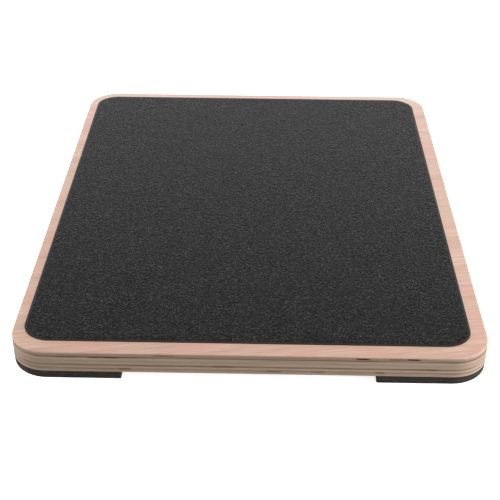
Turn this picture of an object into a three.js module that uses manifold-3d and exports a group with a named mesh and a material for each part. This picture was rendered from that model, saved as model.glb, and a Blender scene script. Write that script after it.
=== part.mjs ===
// Slant board: a plywood standing deck with a grip sheet on top, hinged at its far edge to a thin
// plywood base frame. A swinging prop under the deck catches in two notched racks, which hold the
// near edge up at 10, 15, 20, 25 or 30 degrees. The board is drawn folded flat.
//
// Millimetres. +Z is up, the floor is z = 0, x = 0 is the centre line, and the hinge is at +Y. The
// pieces are drawn about the deck's middle, and the last group moves them to the board's middle.

import * as THREE from "three";
import { mergeVertices } from "three/addons/utils/BufferGeometryUtils.js";
import Module from "manifold-3d";

const wasm = await Module();
wasm.setup();

// ---------------------------------------------------------------- driving dimensions

const GAP = 0.3; // clearance between pieces that move or that are cut to each other
const FIT = 0.15; // clearance round a fastener in its hole
const BORE = 0.2; // clearance round a pin or a rod that turns
const BLIND = 0.5; // how much deeper a blind hole is than its screw
const OVER = 1; // how far a cutting shape reaches past the face it cuts
const TIP = 0.2; // radius of a screw's point
const SOCKET = 0.45; // a socket's radius as a share of its head's radius

const pad = {
  height: 6,
  length: 80.9, // from the deck's side towards the middle
  depth: 72, // from the deck's near edge
  corner: 1,
  outerCorner: 28, // a little blunter than the deck's corner above it
  wellGap: 0.6, // clearance round a screw's head
  screwInset: 22, // first screw from the pad's inner end
  screwPitch: 34,
};

const deck = {
  width: 343,
  length: 445,
  thickness: 16.7,
  corner: 27,
};
deck.bottom = pad.height;
deck.top = deck.bottom + deck.thickness;
deck.near = -deck.length / 2;
deck.far = deck.length / 2;

// The grip sheet is stuck on by hand, so its borders are not equal.
const grip = {
  thickness: 1,
  corner: 20,
  border: { left: 8, right: 11.6, near: 13.3, far: 9.5 },
};

const base = {
  foot: 1.2, // height of the rubber feet
  thickness: 4.5,
  halfWidth: 160,
  railInner: 84, // the side rails start this far from the centre line
  near: -143,
  far: 221,
  corner: 14,
  mouthCorner: 1,
  rearBar: 71, // width of the cross bar at the hinges
  middleBar: { near: 15, far: 47 },
};
base.bottom = base.foot;
base.top = base.bottom + base.thickness;

const foot = { radius: 11, inset: { x: 16, near: 18, far: 20 } };

const hinge = {
  x: 95, // middle of each hinge from the centre line
  length: 60,
  knuckles: 5,
  knuckleGap: 0.4,
  radius: 3.9,
  pin: 1.5,
  pinHead: 2.7,
  pinHeadLength: 1.2,
  leaf: 1.6,
  reach: 30, // how far the base leaf runs under the deck
  rise: 9.7, // height of the deck leaf's flat part
  screwPitch: 40,
  y: deck.far + 4.3,
  z: 4.9,
};

const pivot = { y: 8.5, z: 3.2, radius: 1.6 };

const prop = {
  shortfall: 10, // the prop is this much shorter than the hinge-to-pivot distance
  armInner: 62,
  armWidth: 16,
  armThickness: 4.8,
  rod: 2.5,
  brace: { at: 84, width: 18, thickness: 3.4 },
};
prop.length = hinge.y - pivot.y - prop.shortfall;
prop.armOuter = prop.armInner + prop.armWidth;

const rack = {
  x: 40,
  width: 16,
  seat: 1.1, // how deep the rod drops into a notch
  angles: [10, 15, 20, 25, 30],
  lead: 8.2, // deck angle at which the rod meets the ramp's thin end
  tail: 6, // solid length past the last notch
  screwAfter: [1, 3], // a screw sits between this notch and the next
};

const bracket = {
  eyeInner: 79,
  eyeOuter: 83.6,
  eyeHalf: 3.2,
  outer: 106,
  plate: 1.4,
  plateHalf: 9,
  rivetX: 97,
  rivetPitch: 10,
};

const rivet = { shank: 1.5, head: 2.8, headHeight: 0.6 };
const woodScrew = { shank: 1.3, head: 2.6, headHeight: 1.5, length: 15, point: 3 };
const padScrew = { shank: 1.8, head: 3.8, headHeight: 1.6, length: 13, point: 3, sink: 3.2 };
const rackScrew = { shank: 1.2, head: 2.2, headHeight: 1.1, length: 13, point: 3 };
const braceScrew = { shank: 1, head: 2, headHeight: 1.2, length: 26, point: 1 };

// ---------------------------------------------------------------- materials

const paint = (color, roughness, metalness = 0) =>
  new THREE.MeshStandardMaterial({ color, roughness, metalness });

const materials = {
  plywood: paint(0xd9bfae, 0.6),
  basePlywood: paint(0xcbb09a, 0.7),
  grip: paint(0x3f3e3d, 0.95),
  rubber: paint(0x2f2c28, 0.85),
  zinc: paint(0xb9bcc0, 0.35, 1),
  steel: paint(0x8e9195, 0.3, 1),
  blackSteel: paint(0x242527, 0.5, 0.3),
  aluminium: paint(0xc4c6c8, 0.4, 1),
};

// ---------------------------------------------------------------- shape helpers

// A three.js geometry as a manifold solid, and back.
function solid(geometry) {
  const bare = geometry.clone();
  bare.deleteAttribute("normal");
  bare.deleteAttribute("uv");
  const merged = mergeVertices(bare, 1e-4);
  return new wasm.Manifold(
    new wasm.Mesh({
      numProp: 3,
      vertProperties: new Float32Array(merged.attributes.position.array),
      triVerts: new Uint32Array(merged.index.array),
    }),
  );
}

function geometryOf(manifold) {
  const mesh = manifold.getMesh();
  const geometry = new THREE.BufferGeometry();
  geometry.setAttribute("position", new THREE.BufferAttribute(mesh.vertProperties, mesh.numProp));
  geometry.setIndex(new THREE.BufferAttribute(mesh.triVerts, 1));
  const flat = geometry.toNonIndexed();
  flat.computeVertexNormals();
  return flat;
}

const join = (...parts) => geometryOf(parts.map(solid).reduce((all, part) => all.add(part)));

const cut = (body, ...tools) =>
  geometryOf(tools.map(solid).reduce((all, tool) => all.subtract(tool), solid(body)));

function block(x, y, z) {
  const size = [x, y, z].map(([low, high]) => high - low);
  const middle = [x, y, z].map(([low, high]) => (low + high) / 2);
  return new THREE.BoxGeometry(...size).translate(...middle);
}

// A flat outline in x and y, made solid between two heights.
function plate(outline, [low, high], curveSegments = 8) {
  return new THREE.ExtrudeGeometry(outline, {
    depth: high - low,
    bevelEnabled: false,
    curveSegments,
  }).translate(0, 0, low);
}

// A flat outline in y and z, made solid between two x values.
function profile(outline, [low, high], curveSegments = 8) {
  const turn = new THREE.Matrix4().makeBasis(
    new THREE.Vector3(0, 1, 0),
    new THREE.Vector3(0, 0, 1),
    new THREE.Vector3(1, 0, 0),
  );
  return new THREE.ExtrudeGeometry(outline, {
    depth: high - low,
    bevelEnabled: false,
    curveSegments,
  })
    .applyMatrix4(turn)
    .translate(low, 0, 0);
}

const rodX = (radius, [low, high], y, z, sides = 20) =>
  new THREE.CylinderGeometry(radius, radius, high - low, sides)
    .rotateZ(Math.PI / 2)
    .translate((low + high) / 2, y, z);

const rodY = (radius, x, [low, high], z, sides = 14) =>
  new THREE.CylinderGeometry(radius, radius, high - low, sides).translate(x, (low + high) / 2, z);

const rodZ = (radius, x, y, [low, high], sides = 14) =>
  new THREE.CylinderGeometry(radius, radius, high - low, sides)
    .rotateX(Math.PI / 2)
    .translate(x, y, (low + high) / 2);

// A rectangle in plan whose four corners have their own radii, counter-clockwise from near left.
function roundedRectangle([x0, x1], [y0, y1], radii) {
  const [a, b, c, d] = radii;
  const outline = new THREE.Shape();
  outline.moveTo(x0 + a, y0);
  outline.lineTo(x1 - b, y0);
  outline.absarc(x1 - b, y0 + b, b, -Math.PI / 2, 0, false);
  outline.lineTo(x1, y1 - c);
  outline.absarc(x1 - c, y1 - c, c, 0, Math.PI / 2, false);
  outline.lineTo(x0 + d, y1);
  outline.absarc(x0 + d, y1 - d, d, Math.PI / 2, Math.PI, false);
  outline.lineTo(x0, y0 + a);
  outline.absarc(x0 + a, y0 + a, a, Math.PI, 1.5 * Math.PI, false);
  return outline;
}

// A span of x given as distances from the centre line, on the left (-1) or the right (+1).
const across = (side, inner, outer) => (side < 0 ? [-outer, -inner] : [inner, outer]);

// Both sides of the board, with the word that their pieces' names end in.
const SIDES = [
  [-1, "left"],
  [1, "right"],
];

function mesh(name, geometry, material, position = [0, 0, 0], rotation = [0, 0, 0]) {
  const piece = new THREE.Mesh(geometry, material);
  piece.name = name;
  piece.position.set(...position);
  piece.rotation.set(...rotation);
  return piece;
}

// Turns that point a fastener's shank, which is drawn along its own +Y.
const SHANK_UP = [Math.PI / 2, 0, 0];
const SHANK_NEAR = [0, 0, Math.PI];
const shankInward = (side) => [0, 0, (side * Math.PI) / 2];

// A screw whose head's underside is at y = 0, with a hexagon socket in the head.
function panScrew({ shank, head, headHeight, length, point }) {
  const outline = [
    [0, -headHeight],
    [head * 0.7, -headHeight],
    [head, -headHeight * 0.4],
    [head, 0],
    [shank, 0],
    [shank, length - point],
    [TIP, length],
    [0, length],
  ].map(([r, y]) => new THREE.Vector2(r, y));
  const socket = new THREE.CylinderGeometry(head * SOCKET, head * SOCKET, headHeight, 6);
  return cut(new THREE.LatheGeometry(outline, 14), socket.translate(0, -headHeight, 0));
}

// A countersunk screw whose flat head face is at y = 0.
function flatScrew({ shank, head, headHeight, length, point }) {
  const outline = [
    [0, 0],
    [head, 0],
    [shank, headHeight],
    [shank, length - point],
    [TIP, length],
    [0, length],
  ].map(([r, y]) => new THREE.Vector2(r, y));
  const socket = new THREE.CylinderGeometry(head * SOCKET, head * SOCKET, headHeight, 6);
  return cut(new THREE.LatheGeometry(outline, 14), socket);
}

// A rivet whose low head is under y = 0 and whose shank ends flush at the given length.
function rivetShape(length) {
  const outline = [
    [0, -rivet.headHeight],
    [rivet.head * 0.7, -rivet.headHeight],
    [rivet.head, -rivet.headHeight * 0.3],
    [rivet.head, 0],
    [rivet.shank, 0],
    [rivet.shank, length],
    [0, length],
  ].map(([r, y]) => new THREE.Vector2(r, y));
  return new THREE.LatheGeometry(outline, 14);
}

// ---------------------------------------------------------------- places worked out once

const hingeSpan = (side) =>
  across(side, hinge.x - hinge.length / 2, hinge.x + hinge.length / 2);

const hingeFasteners = (side) =>
  [-1, 1].map((end) => side * hinge.x + (end * hinge.screwPitch) / 2);

const baseLeaf = {
  bottom: hinge.z - hinge.radius,
  top: hinge.z - hinge.radius + hinge.leaf,
  far: hinge.y - hinge.radius - GAP,
};
baseLeaf.near = baseLeaf.far - hinge.reach;
baseLeaf.rivetY = (baseLeaf.near + base.far) / 2;

const deckLeaf = { bottom: hinge.z + hinge.radius + GAP };
deckLeaf.top = deckLeaf.bottom + hinge.rise;
deckLeaf.screwZ = (deckLeaf.bottom + deckLeaf.top) / 2;

const bracketBottom = pivot.z - prop.armThickness / 2;
const bracketRivets = [-1, 1].map((end) => pivot.y + (end * bracket.rivetPitch) / 2);

const padScrewY = deck.near + pad.depth / 2;
const padInner = deck.width / 2 - pad.length;
const padScrewXs = [0, 1].map((n) => padInner + pad.screwInset + n * pad.screwPitch);

const feet = [
  ["near", base.near + foot.inset.near],
  ["middle", (base.near + base.far) / 2],
  ["far", base.far - foot.inset.far],
];
const footX = base.halfWidth - foot.inset.x;

// Where the prop's rod is, measured on the deck, when the deck is up by this angle. The prop turns
// twice as far as the deck, because the two are the sides of a nearly isosceles triangle.
function rodOnDeck(degrees) {
  const angle = THREE.MathUtils.degToRad(degrees);
  const reach = hinge.y - pivot.y;
  const drop = hinge.z - pivot.z;
  return {
    y: hinge.y - ((reach + prop.length) * Math.cos(angle) - drop * Math.sin(angle)),
    z: hinge.z - (prop.shortfall * Math.sin(angle) + drop * Math.cos(angle)),
  };
}

const notches = rack.angles.map(rodOnDeck);
const rackScrewYs = rack.screwAfter.map((n) => (notches[n].y + notches[n + 1].y) / 2);

// The rack's lower face keeps a gap to the rod all the way along.
const rampHeight = (place) => place.z + prop.rod + GAP;

function rampAt(y) {
  const places = [rack.lead, ...rack.angles].map(rodOnDeck);
  const next = places.findIndex((place) => place.y >= y);
  const [a, b] = [places[next - 1], places[next]];
  const share = (y - a.y) / (b.y - a.y);
  return rampHeight(a) + share * (rampHeight(b) - rampHeight(a));
}

// ---------------------------------------------------------------- deck

function deckPanel() {
  const corners = Array(4).fill(deck.corner);
  const outline = roundedRectangle(
    [-deck.width / 2, deck.width / 2],
    [deck.near, deck.far],
    corners,
  );
  const board = plate(outline, [deck.bottom, deck.top], 10);
  const holes = [];
  for (const [side] of SIDES) {
    for (const x of padScrewXs) {
      const top = padScrew.sink + padScrew.length + BLIND;
      holes.push(rodZ(padScrew.shank + FIT, side * x, padScrewY, [deck.bottom - OVER, top]));
    }
    for (const y of rackScrewYs) {
      const top = rampAt(y) + rackScrew.length + BLIND;
      holes.push(rodZ(rackScrew.shank + FIT, side * rack.x, y, [deck.bottom - OVER, top]));
    }
    for (const x of hingeFasteners(side)) {
      const end = deck.far + hinge.leaf - woodScrew.length - BLIND;
      holes.push(rodY(woodScrew.shank + FIT, x, [end, deck.far + OVER], deckLeaf.screwZ));
    }
  }
  return mesh("deck_panel", cut(board, ...holes), materials.plywood);
}

function gripSheet() {
  const { left, right, near, far } = grip.border;
  const outline = roundedRectangle(
    [-deck.width / 2 + left, deck.width / 2 - right],
    [deck.near + near, deck.far - far],
    Array(4).fill(grip.corner),
  );
  return mesh("grip_sheet", plate(outline, [deck.top, deck.top + grip.thickness]), materials.grip);
}

// A corner pad follows the deck's rounded near corner and its two edges.
function cornerPad(side, word) {
  const radii =
    side < 0
      ? [pad.outerCorner, pad.corner, pad.corner, pad.corner]
      : [pad.corner, pad.outerCorner, pad.corner, pad.corner];
  const outline = roundedRectangle(
    across(side, padInner, deck.width / 2),
    [deck.near, deck.near + pad.depth],
    radii,
  );
  const holes = padScrewXs.flatMap((x) => [
    rodZ(padScrew.shank + GAP, side * x, padScrewY, [-OVER, deck.bottom + OVER]),
    rodZ(padScrew.head + pad.wellGap, side * x, padScrewY, [-OVER, padScrew.sink]),
  ]);
  return mesh(`pad_near_${word}`, cut(plate(outline, [0, pad.height]), ...holes), materials.rubber);
}

function padScrews(side, word) {
  return padScrewXs.map((x, n) =>
    mesh(
      `pad_screw_${word}_${n + 1}`,
      panScrew(padScrew),
      materials.zinc,
      [side * x, padScrewY, padScrew.sink],
      SHANK_UP,
    ),
  );
}

function rackPiece(side, word) {
  const start = rodOnDeck(rack.lead);
  const end = notches[notches.length - 1];
  const outline = new THREE.Shape();
  outline.moveTo(start.y, deck.bottom);
  outline.lineTo(start.y, rampHeight(start));
  notches.forEach((place) => outline.lineTo(place.y, rampHeight(place)));
  outline.lineTo(end.y + rack.tail, rampHeight(end));
  outline.lineTo(end.y + rack.tail, deck.bottom);
  const span = across(side, rack.x - rack.width / 2, rack.x + rack.width / 2);
  const wide = [span[0] - OVER, span[1] + OVER];
  const seats = notches.map((place) =>
    rodX(prop.rod + GAP, wide, place.y, place.z + rack.seat, 20),
  );
  const holes = rackScrewYs.flatMap((y) => {
    const face = rampAt(y);
    return [
      rodZ(rackScrew.shank + FIT, side * rack.x, y, [face - OVER, deck.bottom + OVER]),
      rodZ(rackScrew.head + FIT, side * rack.x, y, [face - OVER, face + rackScrew.headHeight]),
    ];
  });
  const body = cut(profile(outline, span), ...seats, ...holes);
  return mesh(`rack_${word}`, body, materials.aluminium);
}

function rackScrews(side, word) {
  return rackScrewYs.map((y, n) =>
    mesh(
      `rack_screw_${word}_${n + 1}`,
      flatScrew(rackScrew),
      materials.zinc,
      [side * rack.x, y, rampAt(y)],
      SHANK_UP,
    ),
  );
}

// ---------------------------------------------------------------- hinges

// The x spans of one hinge's knuckles, from left to right.
function knuckleSpans(side) {
  const [start] = hingeSpan(side);
  const gaps = (hinge.knuckles - 1) * hinge.knuckleGap;
  const width = (hinge.length - gaps) / hinge.knuckles;
  return Array.from({ length: hinge.knuckles }, (_, n) => {
    const low = start + n * (width + hinge.knuckleGap);
    return [low, low + width];
  });
}

const barrel = (span) => rodX(hinge.radius, span, hinge.y, hinge.z, 24);
const bore = (side) => {
  const [low, high] = hingeSpan(side);
  return rodX(hinge.pin + BORE, [low - OVER, high + OVER], hinge.y, hinge.z, 24);
};

// The base leaf lies flat under the base frame, tangent to the knuckles' lowest line.
function hingeBaseLeaf(side, word) {
  const own = knuckleSpans(side).filter((_, n) => n % 2 === 0);
  const height = [baseLeaf.bottom, baseLeaf.top];
  const flat = block(hingeSpan(side), [baseLeaf.near, baseLeaf.far], height);
  const tabs = own.map((span) => block(span, [baseLeaf.far - OVER, hinge.y], height));
  const holes = hingeFasteners(side).map((x) =>
    rodZ(rivet.shank + FIT, x, baseLeaf.rivetY, [baseLeaf.bottom - OVER, baseLeaf.top + OVER]),
  );
  const body = cut(join(flat, ...tabs, ...own.map(barrel)), bore(side), ...holes);
  return mesh(`hinge_base_leaf_${word}`, body, materials.zinc);
}

// The deck leaf stands against the deck's far edge.
function hingeDeckLeaf(side, word) {
  const own = knuckleSpans(side).filter((_, n) => n % 2 === 1);
  const sheet = [deck.far, deck.far + hinge.leaf];
  const flat = block(hingeSpan(side), sheet, [deckLeaf.bottom, deckLeaf.top]);
  const tabs = own.map((span) => block(span, sheet, [hinge.z, deckLeaf.bottom + OVER]));
  const holes = hingeFasteners(side).map((x) =>
    rodY(woodScrew.shank + FIT, x, [deck.far - OVER, deck.far + hinge.leaf + OVER], deckLeaf.screwZ),
  );
  const body = cut(join(flat, ...tabs, ...own.map(barrel)), bore(side), ...holes);
  return mesh(`hinge_deck_leaf_${word}`, body, materials.zinc);
}

function hingePin(side, word) {
  const half = hinge.length / 2 + GAP;
  const outline = [
    [0, -half - hinge.pinHeadLength],
    [hinge.pinHead * 0.75, -half - hinge.pinHeadLength],
    [hinge.pinHead, -half - hinge.pinHeadLength * 0.5],
    [hinge.pinHead, -half],
    [hinge.pin, -half],
    [hinge.pin, half],
    [hinge.pinHead, half],
    [hinge.pinHead, half + hinge.pinHeadLength * 0.5],
    [hinge.pinHead * 0.75, half + hinge.pinHeadLength],
    [0, half + hinge.pinHeadLength],
  ].map(([r, y]) => new THREE.Vector2(r, y));
  return mesh(
    `hinge_pin_${word}`,
    new THREE.LatheGeometry(outline, 20),
    materials.steel,
    [side * hinge.x, hinge.y, hinge.z],
    shankInward(-1),
  );
}

function hingeScrews(side, word) {
  return hingeFasteners(side).map((x, n) =>
    mesh(
      `hinge_screw_${word}_${n + 1}`,
      panScrew(woodScrew),
      materials.zinc,
      [x, deck.far + hinge.leaf, deckLeaf.screwZ],
      SHANK_NEAR,
    ),
  );
}

function hingeRivets(side, word) {
  return hingeFasteners(side).map((x, n) =>
    mesh(
      `hinge_rivet_${word}_${n + 1}`,
      rivetShape(base.top - baseLeaf.bottom),
      materials.zinc,
      [x, baseLeaf.rivetY, baseLeaf.bottom],
      SHANK_UP,
    ),
  );
}

// ---------------------------------------------------------------- base

// Two side rails joined by a rear bar and a middle bar; the near end is open for the prop.
function basePanel() {
  const { halfWidth, railInner, near, far, corner, middleBar } = base;
  const span = [base.bottom, base.top];
  const outer = roundedRectangle([-halfWidth, halfWidth], [near, far], Array(4).fill(corner));
  const window = roundedRectangle(
    [-railInner, railInner],
    [middleBar.far, far - base.rearBar],
    Array(4).fill(corner),
  );
  const mouth = roundedRectangle(
    [-railInner, railInner],
    [near - corner, middleBar.near],
    Array(4).fill(base.mouthCorner),
  );
  const through = [base.bottom - OVER, base.top + OVER];
  const cuts = [plate(window, through), plate(mouth, through, 2)];
  for (const [side] of SIDES) {
    const [low, high] = hingeSpan(side);
    cuts.push(
      block(
        [low - GAP, high + GAP],
        [baseLeaf.near - GAP, far + OVER],
        [base.bottom - OVER, baseLeaf.top + GAP],
      ),
      block(
        across(side, railInner - OVER, bracket.outer + GAP),
        [pivot.y - bracket.plateHalf - GAP, pivot.y + bracket.plateHalf + GAP],
        [base.bottom - OVER, bracketBottom + bracket.plate + GAP],
      ),
    );
    for (const x of hingeFasteners(side)) {
      cuts.push(rodZ(rivet.shank + FIT, x, baseLeaf.rivetY, through));
    }
    for (const y of bracketRivets) {
      cuts.push(rodZ(rivet.shank + FIT, side * bracket.rivetX, y, through));
    }
  }
  return mesh("base_panel", cut(plate(outer, span), ...cuts), materials.basePlywood);
}

function footDisc(side, word, [place, y]) {
  return mesh(
    `foot_${place}_${word}`,
    rodZ(foot.radius, side * footX, y, [0, base.foot], 24),
    materials.rubber,
  );
}

// A bracket is a flat strap under the rail with a square eye for the prop's pivot rod.
function pivotBracket(side, word) {
  const eye = block(
    across(side, bracket.eyeInner, bracket.eyeOuter),
    [pivot.y - bracket.eyeHalf, pivot.y + bracket.eyeHalf],
    [bracketBottom, pivot.z + prop.armThickness / 2],
  );
  const strap = block(
    across(side, bracket.eyeInner, bracket.outer),
    [pivot.y - bracket.plateHalf, pivot.y + bracket.plateHalf],
    [bracketBottom, bracketBottom + bracket.plate],
  );
  const through = across(side, bracket.eyeInner - OVER, bracket.eyeOuter + OVER);
  const hole = rodX(pivot.radius + BORE, through, pivot.y, pivot.z);
  const relief = block(
    across(side, bracket.eyeInner - OVER, bracket.eyeOuter),
    [pivot.y + bracket.eyeHalf, pivot.y + bracket.plateHalf + OVER],
    [bracketBottom - OVER, bracketBottom + bracket.plate + OVER],
  );
  const holes = bracketRivets.map((y) =>
    rodZ(rivet.shank + FIT, side * bracket.rivetX, y, [bracketBottom - OVER, base.top]),
  );
  const body = cut(join(eye, strap), hole, relief, ...holes);
  return mesh(`pivot_bracket_${word}`, body, materials.zinc);
}

function bracketRivetSet(side, word) {
  return bracketRivets.map((y, n) =>
    mesh(
      `bracket_rivet_${word}_${n + 1}`,
      rivetShape(base.top - bracketBottom),
      materials.zinc,
      [side * bracket.rivetX, y, bracketBottom],
      SHANK_UP,
    ),
  );
}

// ---------------------------------------------------------------- prop

const propTip = pivot.y - prop.length;

// A flat bar with round ends about the pivot rod and the catch rod.
function propArm(side, word) {
  const half = prop.armThickness / 2;
  const outline = new THREE.Shape();
  outline.moveTo(propTip, pivot.z - half);
  outline.lineTo(pivot.y, pivot.z - half);
  outline.absarc(pivot.y, pivot.z, half, -Math.PI / 2, Math.PI / 2, false);
  outline.lineTo(propTip, pivot.z + half);
  outline.absarc(propTip, pivot.z, half, Math.PI / 2, 1.5 * Math.PI, false);
  const span = across(side, prop.armInner, prop.armOuter);
  const wide = [span[0] - OVER, span[1] + OVER];
  const braceY = pivot.y - prop.brace.at;
  const bores = [
    rodX(pivot.radius + BORE, wide, pivot.y, pivot.z, 20),
    rodX(pivot.radius + BORE, wide, propTip, pivot.z, 20),
    rodX(braceScrew.shank + FIT, wide, braceY, pivot.z, 14),
  ];
  return mesh(`prop_arm_${word}`, cut(profile(outline, span), ...bores), materials.blackSteel);
}

function propBrace() {
  const { at, width, thickness } = prop.brace;
  const y = pivot.y - at;
  const bar = block(
    [-prop.armInner, prop.armInner],
    [y - width / 2, y + width / 2],
    [pivot.z - thickness / 2, pivot.z + thickness / 2],
  );
  const depth = braceScrew.length - prop.armWidth + BLIND;
  const holes = SIDES.map(([side]) =>
    rodX(
      braceScrew.shank + FIT,
      across(side, prop.armInner - depth, prop.armInner + OVER),
      y,
      pivot.z,
      14,
    ),
  );
  return mesh("prop_brace", cut(bar, ...holes), materials.blackSteel);
}

function braceScrewPiece(side, word) {
  return mesh(
    `brace_screw_${word}`,
    panScrew(braceScrew),
    materials.zinc,
    [side * prop.armOuter, pivot.y - prop.brace.at, pivot.z],
    shankInward(side),
  );
}

// The catch rod is thick between the arms and has a thinner spigot through each arm.
function catchRod() {
  const shoulder = prop.armInner - GAP;
  const end = prop.armOuter;
  const outline = [
    [0, -end],
    [pivot.radius, -end],
    [pivot.radius, -shoulder],
    [prop.rod, -shoulder],
    [prop.rod, shoulder],
    [pivot.radius, shoulder],
    [pivot.radius, end],
    [0, end],
  ].map(([r, y]) => new THREE.Vector2(r, y));
  return mesh(
    "catch_rod",
    new THREE.LatheGeometry(outline, 20),
    materials.steel,
    [0, propTip, pivot.z],
    shankInward(-1),
  );
}

function pivotRod() {
  const rod = rodX(pivot.radius, [-bracket.eyeOuter, bracket.eyeOuter], pivot.y, pivot.z, 20);
  return mesh("pivot_rod", rod, materials.steel);
}

// ---------------------------------------------------------------- assembly

function body(name, ...pieces) {
  const group = new THREE.Group();
  group.name = name;
  group.add(...pieces);
  return group;
}

const bothSides = (make) => SIDES.flatMap(([side, word]) => make(side, word));

const baseBody = body(
  "base",
  basePanel(),
  ...bothSides((side, word) => feet.map((place) => footDisc(side, word, place))),
  ...bothSides(hingeBaseLeaf),
  ...bothSides(hingeRivets),
  ...bothSides(hingePin),
  ...bothSides(pivotBracket),
  ...bothSides(bracketRivetSet),
);

const deckBody = body(
  "deck",
  deckPanel(),
  gripSheet(),
  ...bothSides(cornerPad),
  ...bothSides(padScrews),
  ...bothSides(hingeDeckLeaf),
  ...bothSides(hingeScrews),
  ...bothSides(rackPiece),
  ...bothSides(rackScrews),
);

const propBody = body(
  "prop",
  ...bothSides(propArm),
  propBrace(),
  ...bothSides(braceScrewPiece),
  catchRod(),
  pivotRod(),
);

const slantBoard = body("slant_board", baseBody, deckBody, propBody);

// The origin is under the middle of the whole board, hinges included.
slantBoard.position.y = -(hinge.y + hinge.radius + deck.near) / 2;

export default slantBoard;
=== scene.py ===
import math

import bmesh
import bpy
from mathutils import Matrix, Vector, noise


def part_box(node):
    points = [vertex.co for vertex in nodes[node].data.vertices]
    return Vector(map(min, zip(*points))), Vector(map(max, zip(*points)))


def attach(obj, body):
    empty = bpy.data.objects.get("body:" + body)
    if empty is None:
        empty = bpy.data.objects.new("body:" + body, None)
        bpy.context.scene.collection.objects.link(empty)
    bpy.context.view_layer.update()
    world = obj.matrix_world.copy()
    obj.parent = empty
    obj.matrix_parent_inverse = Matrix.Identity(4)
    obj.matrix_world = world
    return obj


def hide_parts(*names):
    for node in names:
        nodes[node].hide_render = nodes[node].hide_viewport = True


# A slant board, folded flat: plywood deck, grit sheet, rubber corner pads, and under the deck a thin
# base frame, a prop and two notched racks. Everything is in metres, in the frame of the CAD model.

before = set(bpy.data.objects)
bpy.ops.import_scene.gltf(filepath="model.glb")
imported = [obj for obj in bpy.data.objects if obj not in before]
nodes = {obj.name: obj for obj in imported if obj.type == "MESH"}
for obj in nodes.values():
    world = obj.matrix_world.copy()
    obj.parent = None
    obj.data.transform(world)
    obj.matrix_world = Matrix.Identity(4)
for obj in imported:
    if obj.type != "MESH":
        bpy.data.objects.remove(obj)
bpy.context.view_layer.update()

MM = 0.001
SIDES = {"left": -1, "right": 1}

DECK_LOW, DECK_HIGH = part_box("deck_panel")
DECK_MIDDLE = (DECK_LOW + DECK_HIGH) / 2
DECK_THICKNESS = DECK_HIGH.z - DECK_LOW.z
DECK_CORNER = 27 * MM
DECK_TOP_EASING = 1.1 * MM
DECK_BOTTOM_EASING = 0.35 * MM
FACE_STRIPS = 3  # strips of the eased top edge, counted from the top, that show the face veneer

# The plywood's edge: dark glue-and-core lines, each with its share of the thickness from the top and
# its strength, and the browner ply, which runs between two such shares.
PLY_LINES = ((0.13, 0.30), (0.215, 1.0), (0.42, 0.25), (0.63, 0.85), (0.825, 0.60))
PLY_LINE_WIDTH = 1.0 * MM
BROWN_PLY = (0.08, 0.215)

# Rows of vertices across one dark line: height as a share of LINE_HALF, how far the row is sanded in
# as a share of LINE_SINK, and how much of a gap's opening reaches it.
LINE_PROFILE = (
    (2.7, 0.0, 0.0), (1.8, 0.0, 0.5), (1.0, 0.4, 0.9), (0.0, 1.2, 1.0),
    (-1.0, 0.4, 0.9), (-1.8, 0.0, 0.5), (-2.7, 0.0, 0.0),
)
LINE_HALF = 0.45 * MM
LINE_SINK = 0.10 * MM

# Knots and gaps in the core veneers along the near edge: middle and length in x in millimetres, which
# line they are in, with the top one as 0, and how open they are, from a brown stain to a gap darkened
# by painted shade.
CORE_GAPS = (
    (-109, 9, 1, 0.9), (-98, 11, 1, 1.0), (-60, 15, 0, 0.35), (80, 9, 0, 0.9), (105, 12, 0, 0.45),
    (115.5, 9, 0, 1.0), (-18, 14, 3, 0.4), (129, 7, 3, 0.35), (-88, 9, 4, 0.4), (18, 11, 4, 0.35),
    (49, 10, 4, 0.3), (93, 6, 4, 0.4),
)
GAP_STARTS = 0.45  # a place that is less open than this is only stained
GAP_DEPTH = 1.8 * MM  # times the openness above GAP_STARTS

GRIP_CORNER = 20 * MM
GRIP_CELL = 1.6 * MM
GRIP_EDGE_DROPS = (0.45 * MM, 0.12 * MM, 0.03 * MM)  # how far the outermost rings curl down
GRIP_RELIEF = 0.10 * MM  # room for the grains' relief below the sheet's full height
BACKING_RINGS = 1  # outer rings of the sheet's grid where the film shows bare of grit

PAD_CORNER = 28 * MM
PAD_INNER_CORNER = 1 * MM

BASE_LOW, BASE_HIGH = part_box("base_panel")
BASE_THICKNESS = BASE_HIGH.z - BASE_LOW.z
BASE_PLY_LINES = ((0.34, 0.9), (0.66, 0.7))
BASE_LINE_WIDTH = 0.45 * MM
BASE_BROWN_PLY = (0.34, 0.66)

HEX = "hexagonal"  # marks a six-sided ring of a turned shape

# Screws and rivets: head radius, head height and shank radius.
PAD_SCREW = (3.8 * MM, 1.6 * MM, 1.8 * MM)
RACK_SCREW = (2.2 * MM, 1.1 * MM, 1.2 * MM)
HINGE_SCREW = (2.6 * MM, 1.5 * MM, 1.3 * MM)
BRACE_SCREW = (2.0 * MM, 1.2 * MM, 1.0 * MM)
RIVET = (2.8 * MM, 0.6 * MM, 1.5 * MM)

# Soft lights: name, place, the point it faces, size, and power in watts.
SOFTBOXES = (
    ("top_softbox", (0.0, -0.1, 1.9), (0.0, 0.0, 0.0), (2.2, 1.4), 11.3),
    ("back_softbox", (0.0, 1.9, 0.40), (0.0, 0.2, 0.0), (2.6, 0.30), 20.0),
    ("left_softbox", (-1.0, -0.16, 0.15), (0.0, -0.15, 0.0), (0.8, 0.25), 5.8),
    ("right_softbox", (1.0, -0.37, 0.15), (0.0, -0.15, 0.0), (0.8, 0.25), 11.2),
)
HORIZON_GLOW = 0.24  # the sky's strength as a light, level with the floor
OVERHEAD_GLOW = 0.62


# ------------------------------------------------------------------ colours

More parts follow.
